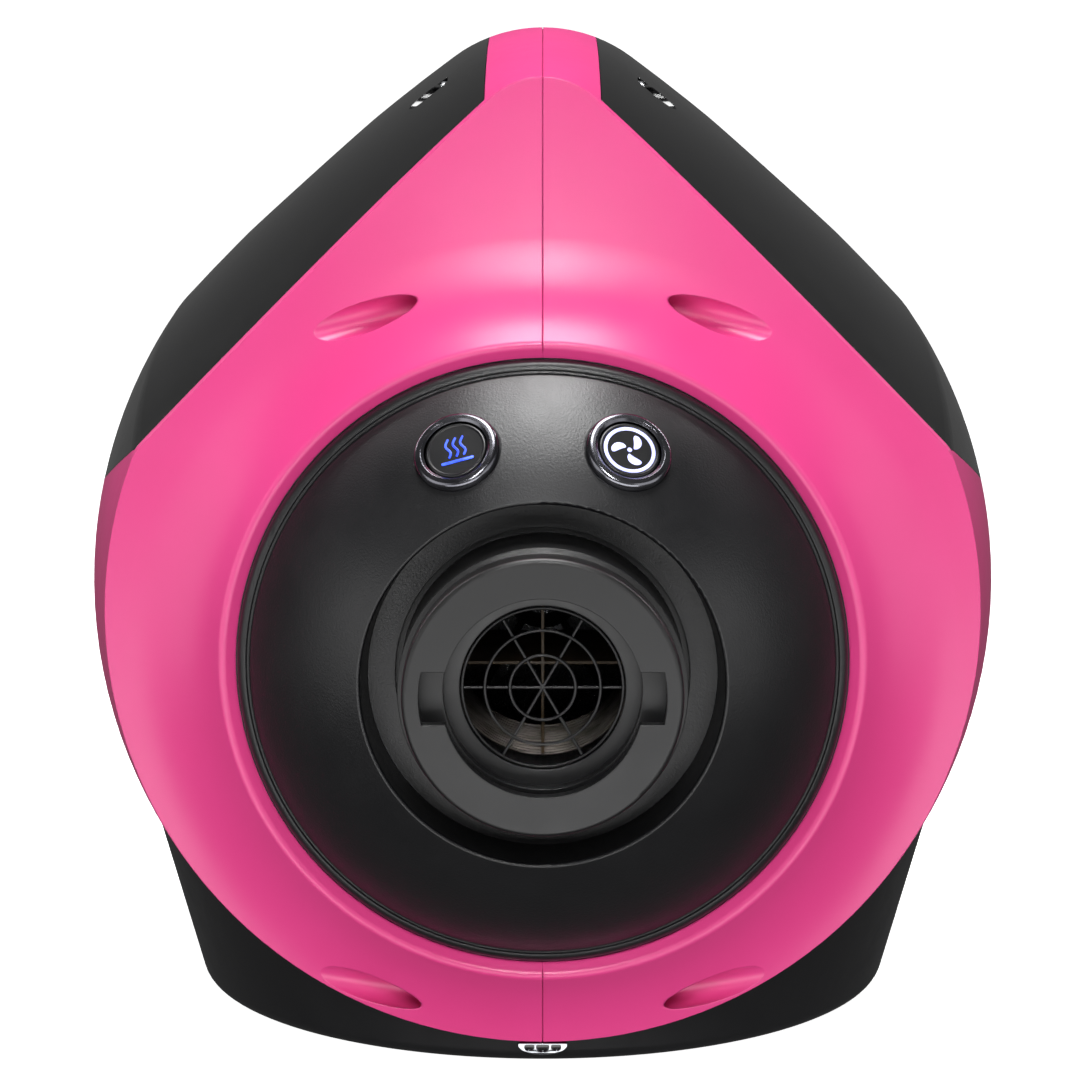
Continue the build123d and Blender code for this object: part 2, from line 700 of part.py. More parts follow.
def make_fan_icon(frame):
    """Ring with three blades."""
    root, tip = (0.3, 0.3), (3.6, 2.0)
    blade = make_face([ThreePointArc(root, (2.5, -0.2), tip), ThreePointArc(tip, (1.6, 2.6), root)])
    marks = [extrude(Circle(6.2) - Circle(5.5), 0.2)]
    for turn in range(3):
        marks.append(Rot(0, 0, 120.0 * turn + 40) * extrude(blade, 0.2))
    place = Pos(0, 0, CAP_TOP - 0.25) * Rot(0, 0, -ICON_TILT)
    return Compound([frame * (place * mark) for mark in marks])


# ---- Fasteners ------------------------------------------------------------------
def make_shell_screws():
    screws = []
    for frame in well_frames():
        one = frame * (Pos(0, 0, -WELL_DEPTH) * screw(3.6, 2.0, 9.0))
        screws += [one, mirrored(one)]
    return Compound(screws)


def make_cover_screws():
    one = cover_well_frame() * (Pos(0, 0, -7.5) * screw(3.2, 1.6, 5.0))
    return Compound([one, mirrored(one)])


# ---- Build --------------------------------------------------------------------
def write(name, shape):
    export_step(shape, f"parts/{name}.step")


def main():
    os.makedirs("parts", exist_ok=True)
    outer = half_body(0, lip=True)
    grown = Solid.make_loft([half_wire(y, -0.3) for y in STATIONS])
    grown -= block(-300, 300, -300, 300, -300, FLOOR_CUT - 0.3)

    shell = make_right_shell(outer)
    write("right_shell", shell)
    write("left_shell", mirrored(shell))
    cover = make_right_cover(outer)
    write("right_side_cover", cover)
    write("left_side_cover", mirrored(cover))
    write("base_housing", make_base(grown))
    write("rubber_feet", make_feet())
    write("base_screws", make_base_screws())
    write("badge_plate", make_badge(grown))

    write("front_panel", make_front_panel())
    write("hose_coupling", make_coupling())
    write("outlet_guard", make_guard())
    write("outlet_duct", make_duct())
    write("air_shroud", make_shroud())
    write("heater_frame", make_heater_frame())
    write("heater_coils", make_heater_coils())
    write("thermal_cutout", make_thermal_cutout())

    write("fan_housing", make_fan_housing())
    write("impeller", make_impeller())
    write("impeller_nut", make_impeller_nut())
    write("motor_shaft", ring(SHAFT_R, 0, 18.0, 115.0))
    write("armature", ring(ARMATURE_R, SHAFT_R, STATOR_FRONT, STATOR_REAR))
    write("commutator", ring(12.0, SHAFT_R, 101.5, 107.5))
    write("stator_core", make_stator())
    write("stator_windings", make_windings())
    write("motor_front_bracket", make_front_bracket())
    write("motor_rear_bracket", make_rear_bracket())
    write("brush_holders", make_brush_holders())
    write("carbon_brushes", make_brushes())
    write("front_bearing", make_bearing(FAN_FRONT + 0.5))
    write("rear_bearing", make_bearing(108.4))
    write("motor_bulkhead", make_bulkhead())
    write("acoustic_foam", make_acoustic_foam())
    write("control_board", make_board())
    write("board_components", make_board_parts())

    write("intake_cover", make_intake_cover())
    write("intake_ring", make_intake_ring())
    write("filter_foam", make_filter())
    write("power_inlet", make_inlet())
    write("inlet_pins", make_inlet_pins())

    for name, side, icon in (("heat", -1, make_heat_icon), ("fan", 1, make_fan_icon)):
        frame = button_frame(side)
        write(f"{name}_button_housing", make_button_housing(frame))
        write(f"{name}_button_nut", make_button_nut(frame))
        write(f"{name}_button_spring", make_button_spring(frame))
        write(f"{name}_button_cap", make_button_cap(frame))
        write(f"{name}_icon", icon(frame))

    write("shell_screws", make_shell_screws())
    write("cover_screws", make_cover_screws())


main()
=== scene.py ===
"""Looks of a teardrop blower dryer: finishes, fine detail, studio and camera.

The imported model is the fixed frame. This script dresses its nodes, replaces the few that
need finer geometry, and sets a plain studio round it. Metres, +Z up, outlet towards -Y.
"""

import json
import logging
import math
from collections.abc import Callable
from dataclasses import dataclass
from enum import Enum

import bpy
from mathutils import Matrix, Vector

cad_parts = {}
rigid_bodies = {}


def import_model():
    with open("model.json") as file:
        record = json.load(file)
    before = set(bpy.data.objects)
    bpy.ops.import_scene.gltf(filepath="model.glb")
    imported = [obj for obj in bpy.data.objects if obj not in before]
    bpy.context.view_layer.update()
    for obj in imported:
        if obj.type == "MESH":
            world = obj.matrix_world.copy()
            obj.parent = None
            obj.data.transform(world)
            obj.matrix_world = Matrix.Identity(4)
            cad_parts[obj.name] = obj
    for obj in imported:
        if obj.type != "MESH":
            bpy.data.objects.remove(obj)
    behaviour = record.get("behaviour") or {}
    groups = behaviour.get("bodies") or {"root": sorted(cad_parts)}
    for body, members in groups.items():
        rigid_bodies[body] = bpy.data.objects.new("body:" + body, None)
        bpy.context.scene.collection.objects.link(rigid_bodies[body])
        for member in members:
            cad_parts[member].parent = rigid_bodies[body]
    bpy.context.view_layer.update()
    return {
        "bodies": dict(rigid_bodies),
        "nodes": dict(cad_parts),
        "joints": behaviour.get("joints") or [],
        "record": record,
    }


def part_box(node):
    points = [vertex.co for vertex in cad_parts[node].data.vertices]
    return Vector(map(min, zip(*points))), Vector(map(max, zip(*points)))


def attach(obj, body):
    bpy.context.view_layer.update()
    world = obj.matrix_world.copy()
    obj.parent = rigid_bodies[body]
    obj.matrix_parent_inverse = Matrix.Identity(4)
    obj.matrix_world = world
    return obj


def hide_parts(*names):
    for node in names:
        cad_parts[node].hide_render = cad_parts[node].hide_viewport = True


LOG = logging.getLogger("dryer")
MM = 0.001
# faces that meet at less than this are shaded as one surface
SMOOTH = math.radians(32)
# an inlay's softened edge and the gap that its points are merged over, in millimetres
INLAY_EDGE = 0.04
WELD = 0.002
# steps in the round end of a pen stroke
CAP_STEPS = 8

Outline = list[tuple[float, float]]


# ---- Colour and node helpers ------------------------------------------------
def linear(hex_colour: str) -> tuple[float, float, float, float]:
    """Turns an sRGB hex colour into linear RGBA.

    Args:
        hex_colour: six hex digits after a hash.

    Returns:
        Linear red, green and blue, and full opacity.
    """
    channels = [int(hex_colour[i : i + 2], 16) / 255 for i in (1, 3, 5)]
    made = [c / 12.92 if c <= 0.04045 else ((c + 0.055) / 1.055) ** 2.4 for c in channels]
    return (made[0], made[1], made[2], 1.0)


def add_node(
    tree: bpy.types.NodeTree,
    kind: str,
    settings: dict[str, object] | None = None,
    inputs: dict[object, object] | None = None,
) -> bpy.types.Node:
    """Adds one node with its settings, and fills or links its inputs.

    Args:
        tree: the material's or world's node tree.
        kind: Blender's name for the node's type.
        settings: node properties by name.
        inputs: values or sockets by input name or index.

    Returns:
        The new node.
    """
    node = tree.nodes.new(kind)
    for name, value in (settings or {}).items():
        setattr(node, name, value)
    for key, value in (inputs or {}).items():
        if isinstance(value, bpy.types.NodeSocket):
            tree.links.new(value, node.inputs[key])
        else:
            node.inputs[key].default_value = value
    return node


def new_material(name: str) -> tuple[bpy.types.Material, bpy.types.NodeTree, bpy.types.Node]:
    """Starts a node material.

    Args:
        name: the material's name.

    Returns:
        The material, its tree and its Principled shader, linked to the output.
    """
    material = bpy.data.materials.new(name)
    material.use_nodes = True
    tree = material.node_tree
    tree.nodes.clear()
    shader = add_node(tree, "ShaderNodeBsdfPrincipled")
    add_node(tree, "ShaderNodeOutputMaterial", inputs={"Surface": shader.outputs["BSDF"]})
    return material, tree, shader


def ramp(node: bpy.types.Node, stops: tuple[tuple[float, tuple[float, float, float, float]], ...]) -> None:
    """Sets a colour ramp's stops.

    Args:
        node: the colour ramp node.
        stops: (position, linear colour) pairs, in order.
    """
    elements = node.color_ramp.elements
    while len(elements) < len(stops):
        elements.new(0.5)
    for element, (place, colour) in zip(elements, stops):
        element.position = place
        element.color = colour


def per_metre(size_mm: float) -> float:
    """Texture scale that gives a feature of a size in millimetres on Object coordinates."""
    return 1.0 / (size_mm * MM)


# ---- Finishes -----------------------------------------------------------------
@dataclass(frozen=True)
class MouldedPlastic:
    """Injection-moulded thermoplastic: an even colour, tool grain and slight handling marks."""

    name: str
    colour: str
    shade: str
    roughness: float
    spread: float = 0.05
    grain_mm: float = 0.6
    grain_depth_mm: float = 0.01
    ripple_depth_mm: float = 0.0
    coat: float = 0.0
    coat_roughness: float = 0.05
    edge_mm: float = 0.4
    ior: float = 1.53
    scuffs: float = 0.04

    def build(self) -> bpy.types.Material:
        """Builds the material.

        Returns:
            The material.
        """
        material, tree, shader = new_material(self.name)
        place = add_node(tree, "ShaderNodeTexCoord").outputs["Object"]
        # flow marks: colour drifts a little over tens of millimetres
        drift = add_node(
            tree, "ShaderNodeTexNoise", inputs={"Vector": place, "Scale": per_metre(60), "Detail": 3.0}
        )
        tint = add_node(tree, "ShaderNodeValToRGB", inputs={"Fac": drift.outputs["Fac"]})
        ramp(tint, ((0.35, linear(self.shade)), (0.65, linear(self.colour))))
        tree.links.new(tint.outputs["Color"], shader.inputs["Base Color"])
        # handling: broad dull patches and fine rubbed streaks in the gloss
        rub = add_node(
            tree,
            "ShaderNodeTexNoise",
            inputs={"Vector": place, "Scale": per_metre(18), "Detail": 6.0, "Roughness": 0.65},
        )
        gloss = add_node(
            tree,
            "ShaderNodeMapRange",
            inputs={
                "Value": rub.outputs["Fac"],
                "From Min": 0.3,
                "From Max": 0.7,
                "To Min": max(0.02, self.roughness - self.spread),
                "To Max": self.roughness + self.spread,
            },
        )
        streak_place = add_node(
            tree, "ShaderNodeMapping", inputs={"Vector": place, "Scale": (1.0, 0.12, 1.0)}
        )
        streak = add_node(
            tree,
            "ShaderNodeTexNoise",
            inputs={"Vector": streak_place.outputs["Vector"], "Scale": per_metre(1.4), "Detail": 2.0},
        )
        fine = add_node(
            tree,
            "ShaderNodeMapRange",
            inputs={
                "Value": streak.outputs["Fac"],
                "From Min": 0.62,
                "From Max": 0.8,
                "To Min": 0.0,
                "To Max": self.scuffs,
            },
        )
        rough = add_node(
            tree,
            "ShaderNodeMath",
            {"operation": "ADD"},
            {0: gloss.outputs["Result"], 1: fine.outputs["Result"]},
        )
        tree.links.new(rough.outputs["Value"], shader.inputs["Roughness"])
        # tool grain over softly rounded edges
        edge = add_node(tree, "ShaderNodeBevel", {"samples": 6}, {"Radius": self.edge_mm * MM})
        grain = add_node(
            tree,
            "ShaderNodeTexNoise",
            inputs={"Vector": place, "Scale": per_metre(self.grain_mm), "Detail": 3.0, "Roughness": 0.6},
        )
        bump = add_node(
            tree,
            "ShaderNodeBump",
            inputs={
                "Strength": 1.0,
                "Distance": self.grain_depth_mm * MM,
                "Height": grain.outputs["Fac"],
                "Normal": edge.outputs["Normal"],
            },
        )
        last = bump
        if self.ripple_depth_mm:
            wave = add_node(
                tree, "ShaderNodeTexNoise", inputs={"Vector": place, "Scale": per_metre(9), "Detail": 1.0}
            )
            last = add_node(
                tree,
                "ShaderNodeBump",
                inputs={
                    "Strength": 1.0,
                    "Distance": self.ripple_depth_mm * MM,
                    "Height": wave.outputs["Fac"],
                    "Normal": bump.outputs["Normal"],
                },
            )
        tree.links.new(last.outputs["Normal"], shader.inputs["Normal"])
        shader.inputs["IOR"].default_value = self.ior
        shader.inputs["Coat Weight"].default_value = self.coat
        shader.inputs["Coat Roughness"].default_value = self.coat_roughness
        return material


@dataclass(frozen=True)
class Metal:
    """Turned, drawn or pressed metal with directional marks and light tarnish."""

    name: str
    colour: str
    tarnish: str
    roughness: float
    spread: float = 0.06
    mark_mm: float = 0.35
    stretch: tuple[float, float, float] = (1.0, 0.06, 1.0)
    mark_depth_mm: float = 0.004
    edge_mm: float = 0.15

    def build(self) -> bpy.types.Material:
        """Builds the material.

        Returns:
            The material.
        """
        material, tree, shader = new_material(self.name)
        place = add_node(tree, "ShaderNodeTexCoord").outputs["Object"]
        stain = add_node(
            tree, "ShaderNodeTexNoise", inputs={"Vector": place, "Scale": per_metre(7), "Detail": 5.0}
        )
        tint = add_node(tree, "ShaderNodeValToRGB", inputs={"Fac": stain.outputs["Fac"]})
        ramp(tint, ((0.38, linear(self.tarnish)), (0.6, linear(self.colour))))
        tree.links.new(tint.outputs["Color"], shader.inputs["Base Color"])
        lay = add_node(tree, "ShaderNodeMapping", inputs={"Vector": place, "Scale": self.stretch})
        marks = add_node(
            tree,
            "ShaderNodeTexNoise",
            inputs={"Vector": lay.outputs["Vector"], "Scale": per_metre(self.mark_mm), "Detail": 4.0},
        )
        rough = add_node(
            tree,
            "ShaderNodeMapRange",
            inputs={
                "Value": marks.outputs["Fac"],
                "From Min": 0.3,
                "From Max": 0.7,
                "To Min": max(0.03, self.roughness - self.spread),
                "To Max": self.roughness + self.spread,
            },
        )
        tree.links.new(rough.outputs["Result"], shader.inputs["Roughness"])
        edge = add_node(tree, "ShaderNodeBevel", {"samples": 6}, {"Radius": self.edge_mm * MM})
        bump = add_node(
            tree,
            "ShaderNodeBump",
            inputs={
                "Strength": 1.0,
                "Distance": self.mark_depth_mm * MM,
                "Height": marks.outputs["Fac"],
                "Normal": edge.outputs["Normal"],
            },
        )
        tree.links.new(bump.outputs["Normal"], shader.inputs["Normal"])
        shader.inputs["Metallic"].default_value = 1.0
        return material


@dataclass(frozen=True)
class OpenFoam:
    """Open-cell polyurethane foam: pale struts, with the cell hollows between them darkened by painted
    shade.
    """

    name: str
    strut: str
    painted_hollow_shade: str
    cell_mm: float = 1.6

    def build(self) -> bpy.types.Material:
        """Builds the material.

        Returns:
            The material.
        """
        material, tree, shader = new_material(self.name)
        place = add_node(tree, "ShaderNodeTexCoord").outputs["Object"]
        cells = add_node(
            tree,
            "ShaderNodeTexVoronoi",
            {"feature": "DISTANCE_TO_EDGE"},
            {"Vector": place, "Scale": per_metre(self.cell_mm)},
        )
        # painted shade: colour darkens from the pale struts into the cell hollows, standing in for shade
        # inside the cells
        tint = add_node(tree, "ShaderNodeValToRGB", inputs={"Fac": cells.outputs["Distance"]})
        ramp(tint, ((0.05, linear(self.strut)), (0.3, linear(self.painted_hollow_shade))))
        tree.links.new(tint.outputs["Color"], shader.inputs["Base Color"])
        bump = add_node(
            tree,
            "ShaderNodeBump",
            {"invert": True},
            {"Strength": 1.0, "Distance": 0.5 * MM, "Height": cells.outputs["Distance"]},
        )
        tree.links.new(bump.outputs["Normal"], shader.inputs["Normal"])
        shader.inputs["Roughness"].default_value = 0.9
        return material


@dataclass(frozen=True)
class LitSymbol:
    """Back-lit translucent inlay: an LED spreads behind it, brightest where the light guide is thickest."""

    name: str
    colour: str
    core: str
    strength: float

    def build(self) -> bpy.types.Material:
        """Builds the material.

        Returns:
            The material.
        """
        material, tree, shader = new_material(self.name)
        place = add_node(tree, "ShaderNodeTexCoord").outputs["Object"]
        patch = add_node(
            tree, "ShaderNodeTexNoise", inputs={"Vector": place, "Scale": per_metre(3), "Detail": 2.0}
        )
        tint = add_node(tree, "ShaderNodeValToRGB", inputs={"Fac": patch.outputs["Fac"]})
        ramp(tint, ((0.35, linear(self.colour)), (0.7, linear(self.core))))
        tree.links.new(tint.outputs["Color"], shader.inputs["Base Color"])
        tree.links.new(tint.outputs["Color"], shader.inputs["Emission Color"])
        shader.inputs["Emission Strength"].default_value = self.strength
        shader.inputs["Roughness"].default_value = 0.35
        shader.inputs["IOR"].default_value = 1.49
        return material


class Finish(Enum):
    """Every finish on the machine, by what it is."""

    # satin ABS in a strong pink, lightly polished tool: soft broad highlights
    PINK_ABS = MouldedPlastic("satin_pink_abs", "#dc4085", "#d83c80", 0.31, 0.03, 0.5, 0.0035, scuffs=0.0)
    # piano-black ABS from a mirror-polished tool: sharp reflections, faint ripple and hairlines
    PIANO_ABS = MouldedPlastic(
        "piano_black_abs", "#0a0a0b", "#080809", 0.16, 0.04, 1.2, 0.001, 0.006, coat=0.5, scuffs=0.05
    )
    # satin black ABS with a fine spark-eroded texture
    BASE_ABS = MouldedPlastic("satin_black_abs", "#121214", "#0f0f11", 0.4, 0.05, 0.5, 0.006)
    # grained black ABS: a spark-eroded tool leaves a speckle that catches the light
    GRAINED_ABS = MouldedPlastic("spark_grained_black_abs", "#131315", "#0f0f11", 0.36, 0.05, 0.55, 0.07)
    # moulded nylon, satin: a dull face whose rounded edge catches the light
    COLLAR_NYLON = MouldedPlastic(
        "satin_black_nylon", "#0c0c0e", "#0a0a0b", 0.4, 0.05, 0.5, 0.02, edge_mm=0.5
    )
    GREY_NYLON = MouldedPlastic("glass_filled_nylon", "#3a3a3c", "#323235", 0.55, 0.08, 0.5, 0.02)
    VENT_ABS = MouldedPlastic("vent_black_abs", "#18181a", "#151517", 0.45, 0.06, 0.5, 0.015)
    CAP_ABS = MouldedPlastic("button_cap_black", "#0e0e10", "#0c0c0e", 0.3, 0.03, 0.3, 0.002, edge_mm=0.2)
    RUBBER = MouldedPlastic("thermoplastic_rubber", "#1d1d1e", "#171718", 0.8, 0.08, 0.7, 0.02, ior=1.5)
    MICA = MouldedPlastic("pressed_mica", "#55432b", "#3f3222", 0.5, 0.12, 1.6, 0.03)
    BOARD = MouldedPlastic("solder_mask_board", "#1f5a34", "#1a4d2c", 0.35, 0.08, 1.0, 0.006)
    COMPONENT = MouldedPlastic("epoxy_component", "#1c1c1e", "#161618", 0.5, 0.08, 0.6, 0.01)
    CARBON = MouldedPlastic("pressed_carbon", "#2a2a2c", "#202022", 0.6, 0.1, 0.4, 0.02)
    # dark plated brass, polished: near-black mirror with bright rims
    DARK_CHROME = Metal("dark_chrome_plate", "#77777d", "#5c5c62", 0.2, 0.02, 3.0, (1.0, 1.0, 1.0), 0.0005)
    CHROME = Metal("bright_chrome_plate", "#b4b6ba", "#9c9ea4", 0.16, 0.03, 0.5, (1.0, 1.0, 1.0), 0.001)
    SCREW = Metal("zinc_plated_steel", "#a7a8ab", "#8b8c90", 0.32)
    STEEL = Metal("ground_steel", "#a0a1a5", "#808185", 0.28)
    DUCT = Metal("rolled_steel_sheet", "#8f9094", "#75767a", 0.35, mark_mm=0.8)
    ALUMINIUM = Metal("die_cast_aluminium", "#b4b5b8", "#9a9b9f", 0.42, 0.1, 0.6, (1.0, 1.0, 1.0), 0.02)
    WHEEL = Metal("pressed_aluminium", "#c3c4c7", "#abacb0", 0.3)
    COPPER = Metal("enamelled_copper", "#b8662f", "#93481d", 0.25, 0.08, 0.5, (1.0, 0.1, 1.0), 0.05)
    BRASS = Metal("stamped_brass", "#c9a25a", "#a88546", 0.27)
    NICHROME = Metal("oxidised_nichrome", "#6b6560", "#4b4641", 0.4, 0.1, 0.5)
    # the second colour is painted shade in the foam's cell hollows
    FOAM = OpenFoam("reticulated_foam", "#3a3a3d", "#08080a")
    BLUE_LED = LitSymbol("blue_lit_inlay", "#2440d8", "#4767f0", 1.1)
    WHITE_LED = LitSymbol("white_lit_inlay", "#a9aef0", "#cfd3ff", 0.95)


class Dresser:
    """Builds each finish once and puts it on CAD nodes and new pieces."""

    def __init__(self, nodes: dict[str, bpy.types.Object]) -> None:
        """Keeps the CAD nodes by name."""
        self.nodes = nodes
        self.made: dict[Finish, bpy.types.Material] = {}

    def material(self, finish: Finish) -> bpy.types.Material:
        """Gives a finish's material, built on first use.

        Args:
            finish: the finish.

        Returns:
            The material.
        """
        if finish not in self.made:
            self.made[finish] = finish.value.build()
        return self.made[finish]

    def dress(self, finish: Finish, *names: str) -> None:
        """Gives CAD nodes a finish.

        Args:
            finish: the finish.
            names: the nodes' names.
        """
        for name in names:
            slots = self.nodes[name].data.materials
            slots.clear()
            slots.append(self.material(finish))
            LOG.info("dressed %s with %s", name, finish.value.name)

    def place(
        self, piece: bpy.types.Object, finish: Finish, body: str, slot: str, replaced: tuple[str, ...]
    ) -> None:
        """Finishes a new piece: material, body and the nodes it stands for.

        Args:
            piece: the mesh object, with its place in its mesh.
            finish: its finish.
            body: the CAD body it rides on.
            slot: not used.
            replaced: CAD nodes that it replaces.
        """
        piece.data.materials.clear()
        piece.data.materials.append(self.material(finish))
        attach(piece, body)
        if replaced:
            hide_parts(*replaced)
        LOG.info("made %s: %d faces", piece.name, len(piece.data.polygons))


# ---- Modelling helpers ----------------------------------------------------------
def deselect() -> None:
    """Leaves nothing selected and no active object in edit mode."""
    if bpy.context.object and bpy.context.object.mode != "OBJECT":
        bpy.ops.object.mode_set(mode="OBJECT")
    bpy.ops.object.select_all(action="DESELECT")


def settle(name: str) -> bpy.types.Object:
    """Names the active object and puts its place into its mesh, with smooth shading.

    Args:
        name: the piece's name.

    Returns:
        The object.
    """
    piece = bpy.context.object
    piece.name = name
    piece.data.name = name
    bpy.ops.object.transform_apply(location=True, rotation=True, scale=True)
    bpy.ops.object.shade_smooth_by_angle(angle=SMOOTH)
    return piece


def join(name: str, pieces: list[bpy.types.Object]) -> bpy.types.Object:
    """Joins settled pieces into one object and names it.

    Args:
        name: the joined piece's name.
        pieces: the objects, each with its place in its mesh.

    Returns:
        The joined object.
    """
    deselect()
    for piece in pieces:
        piece.select_set(True)
    bpy.context.view_layer.objects.active = pieces[0]
    bpy.ops.object.join()
    return settle(name)


def round_along_y(
    add: Callable[..., set[str]], centre: tuple[float, float, float], **sizes: float
) -> bpy.types.Object:
    """Adds a primitive whose own Z axis lies along the row's Y axis.

    Args:
        add: the primitive operator.
        centre: where it goes.
        sizes: the operator's own sizes.

    Returns:
        The new object.
    """
    deselect()
    add(location=centre, rotation=(math.pi / 2, 0.0, 0.0), **sizes)
    return bpy.context.object


def inlay(name: str, outlines: list[Outline], depth: float, place: Matrix) -> bpy.types.Object:
    """Cuts a flat inlay from outlines in millimetres: inner outlines are holes.

    Args:
        name: the piece's name.
        outlines: closed outlines as (x, y) points.
        depth: thickness in millimetres, from the place's plane outwards.
        place: the plane, its Z axis outwards.

    Returns:
        The piece, as a mesh with softly bevelled edges.
    """
    curve = bpy.data.curves.new(name, "CURVE")
    curve.dimensions = "2D"
    curve.fill_mode = "BOTH"
    curve.extrude = (depth / 2 - INLAY_EDGE) * MM
    curve.bevel_depth = INLAY_EDGE * MM
    curve.bevel_resolution = 1
    curve.offset = -INLAY_EDGE * MM
    for outline in outlines:
        spline = curve.splines.new("POLY")
        spline.points.add(len(outline) - 1)
        for point, (x, y) in zip(spline.points, outline):
            point.co = (x * MM, y * MM, 0.0, 1.0)
        spline.use_cyclic_u = True
    piece = bpy.data.objects.new(name, curve)
    bpy.context.scene.collection.objects.link(piece)
    piece.matrix_world = place @ Matrix.Translation((0.0, 0.0, depth / 2 * MM))
    deselect()
    piece.select_set(True)
    bpy.context.view_layer.objects.active = piece
    bpy.ops.object.convert(target="MESH")
    bpy.ops.object.mode_set(mode="EDIT")
    bpy.ops.mesh.select_all(action="SELECT")
    bpy.ops.mesh.remove_doubles(threshold=WELD * MM)
    bpy.ops.mesh.normals_make_consistent(inside=False)
    bpy.ops.object.mode_set(mode="OBJECT")
    return settle(name)


def oval(half_width: float, half_height: float, points: int = 96) -> Outline:
    """Outline of an ellipse about the origin."""
    turns = [2 * math.pi * i / points for i in range(points)]
    return [(half_width * math.cos(t), half_height * math.sin(t)) for t in turns]


def stroke(line: Outline, width: float) -> Outline:
    """Outline of a round-ended pen stroke along a line of points.

    Args:
        line: points along the stroke.
        width: the stroke's width.

    Returns:
        The closed outline.
    """
    sides: tuple[Outline, Outline] = ([], [])
    caps: list[float] = []
    for index, (x, y) in enumerate(line):
        before, after = line[max(0, index - 1)], line[min(len(line) - 1, index + 1)]
        heading = math.atan2(after[1] - before[1], after[0] - before[0])
        caps.append(heading)
        for side, sign in zip(sides, (1, -1)):
            turn = heading + sign * math.pi / 2
            side.append((x + width / 2 * math.cos(turn), y + width / 2 * math.sin(turn)))

    def cap(centre: tuple[float, float], start: float) -> Outline:
        """Half circle clockwise from a heading, without its ends."""
        turns = [start - math.pi * i / CAP_STEPS for i in range(1, CAP_STEPS)]
        return [(centre[0] + width / 2 * math.cos(t), centre[1] + width / 2 * math.sin(t)) for t in turns]

    far = cap(line[-1], caps[-1] + math.pi / 2)
    near = cap(line[0], caps[0] - math.pi / 2)
    return sides[0] + far + sides[1][::-1] + near


# ---- Sub-assemblies ----------------------------------------------------------------
@dataclass
class Casing:
    """Clamshell, side covers, base, feet, nameplate and their screws."""

    dresser: Dresser
    badge_centre: tuple[float, float, float] = (0.0, -83.4, 8.4)
    badge_half: tuple[float, float] = (6.5, 2.6)
    badge_top: float = 0.55
    # each opening's shift, half width and half height
    badge_holes: tuple[tuple[float, float, float], ...] = (
        (-3.55, 1.35, 1.0),
        (0.0, 1.75, 1.35),
        (3.55, 1.35, 1.0),
    )
    badge_hole_drop: float = 0.55
    badge_rim: float = 0.4
    badge_thick: float = 1.0
    field_depth: float = 2.2
    field_sink: float = 1.8
    field_gap: float = 0.2

    def build(self) -> None:
        """Dresses the casing."""
        self.dresser.dress(Finish.PINK_ABS, "left_shell", "right_shell")
        self.dresser.dress(Finish.PIANO_ABS, "left_side_cover", "right_side_cover")
        self.dresser.dress(Finish.BASE_ABS, "base_housing")
        self.dresser.dress(Finish.RUBBER, "rubber_feet")
        self.make_badge()
        self.dresser.dress(Finish.SCREW, "shell_screws", "cover_screws", "base_screws")

    def make_badge(self) -> None:
        """Models the nameplate: a dark enamel field under an open chrome frame, with no mark."""
        wide, high = self.badge_half

        def under_lip(outline: Outline, top: float) -> Outline:
            """Flattens an outline's top, where it tucks under the body."""
            return [(x, min(y, top)) for x, y in outline]

        x, y, z = self.badge_centre
        place = Matrix.Translation((x * MM, y * MM, z * MM)) @ Matrix.Rotation(math.pi / 2, 4, "X")
        outlines = [under_lip(oval(wide, high), self.badge_top)]
        for shift, half_width, half_height in self.badge_holes:
            rim = oval(half_width, half_height, 40)
            hole = [(shift + dx, dy - self.badge_hole_drop) for dx, dy in rim]
            outlines.append(under_lip(hole, self.badge_top - self.badge_rim))
        frame = inlay("badge_frame", outlines, self.badge_thick, place)
        self.dresser.place(frame, Finish.CHROME, "housing", "badge_chrome", ("badge_plate",))
        sunk = place @ Matrix.Translation((0.0, 0.0, -self.field_sink * MM))
        enamel = under_lip(oval(wide - self.field_gap, high - self.field_gap), self.badge_top)
        field = inlay("badge_field", [enamel], self.field_depth, sunk)
        self.dresser.place(field, Finish.PIANO_ABS, "housing", "gloss_black", ())


